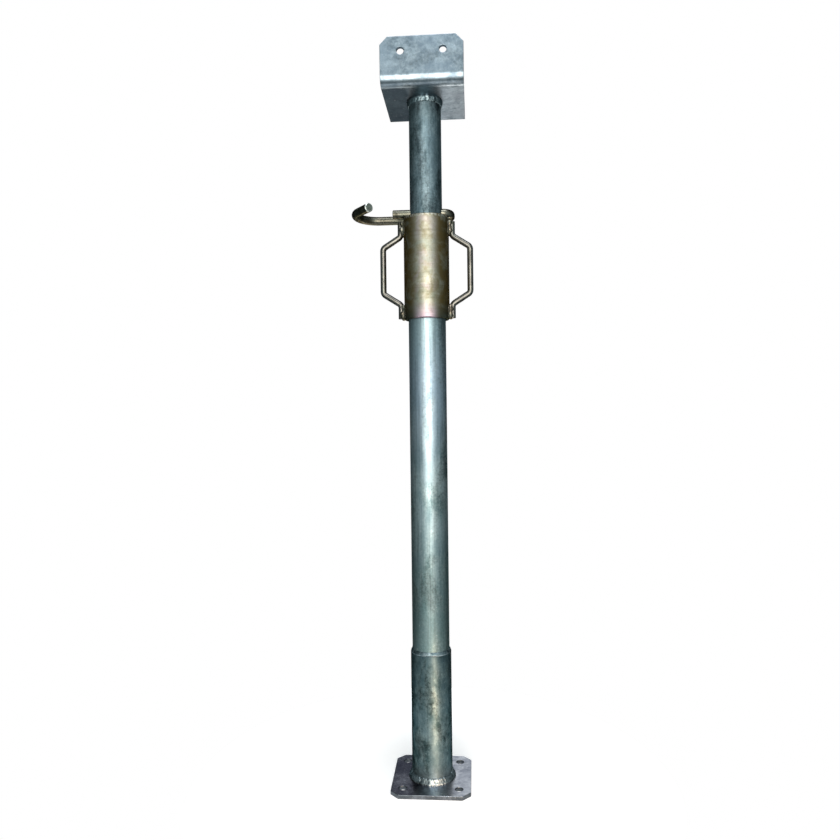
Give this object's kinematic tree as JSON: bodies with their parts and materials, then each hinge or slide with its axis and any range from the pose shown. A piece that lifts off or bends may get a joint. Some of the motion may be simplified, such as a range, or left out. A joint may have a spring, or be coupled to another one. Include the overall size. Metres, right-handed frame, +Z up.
{
  "type": "adjustable steel prop",
  "caption": "Telescopic steel prop: foot plate and outer tube, sliding inner tube with a folded angle head, a long handled nut over a covered thread, and a hooked locking pin.",
  "frame": {"origin": "centre of the base plate's underside, on the tube axis", "axes": "+Z up along the tubes, +X towards the side the locking pin is pulled out to, -Y towards the head's upright flange"},
  "size_m": [0.1822, 0.1325, 1.087],
  "materials": {
    "galvanised_plate": "hot-dip galvanised, mottled",
    "galvanised_sleeve": "galvanised, dull",
    "galvanised_tube": "hot-dip galvanised, bright",
    "galvanised_inner_tube": "galvanised, dull",
    "weld_bead": "galvanised weld, bumpy",
    "chromated_nut": "yellow chromate on zinc, iridescent",
    "chromated_bar": "yellow chromate on zinc, pale",
    "chromated_weld": "plated weld, bumpy",
    "dark_pin_bar": "dark olive plating"
  },
  "bodies": {
    "outer": {"base_plate": "galvanised_plate", "base_weld": "weld_bead", "foot_sleeve": "galvanised_sleeve", "sleeve_weld": "weld_bead", "outer_tube": "galvanised_tube"},
    "inner": {"inner_tube": "galvanised_inner_tube", "head_plate": "galvanised_plate", "head_weld": "weld_bead"},
    "nut": {"nut_sleeve": "chromated_nut", "handle_left": "chromated_bar", "handle_right": "chromated_bar", "handle_weld_left_upper": "chromated_weld", "handle_weld_left_lower": "chromated_weld", "handle_weld_right_upper": "chromated_weld", "handle_weld_right_lower": "chromated_weld"},
    "pin": {"locking_pin": "dark_pin_bar"}
  },
  "joints": [
    {"name": "head_lift", "type": "slide", "parent": "outer", "child": "inner", "axis": [0, 0, 1], "range_m": [0, 0.098]},
    {"name": "nut_turn", "type": "hinge", "parent": "inner", "child": "nut", "pos_m": [0, 0, 0.77], "axis": [0, 0, 1], "range_deg": [0, 4410]},
    {"name": "pin_pull", "type": "slide", "parent": "inner", "child": "pin", "axis": [1, 0, 0], "range_m": [0, 0.0745]}
  ],
  "couplings": [
    {"joint": "head_lift", "follows": "nut_turn", "m_per_rad": 0.001273}
  ]
}
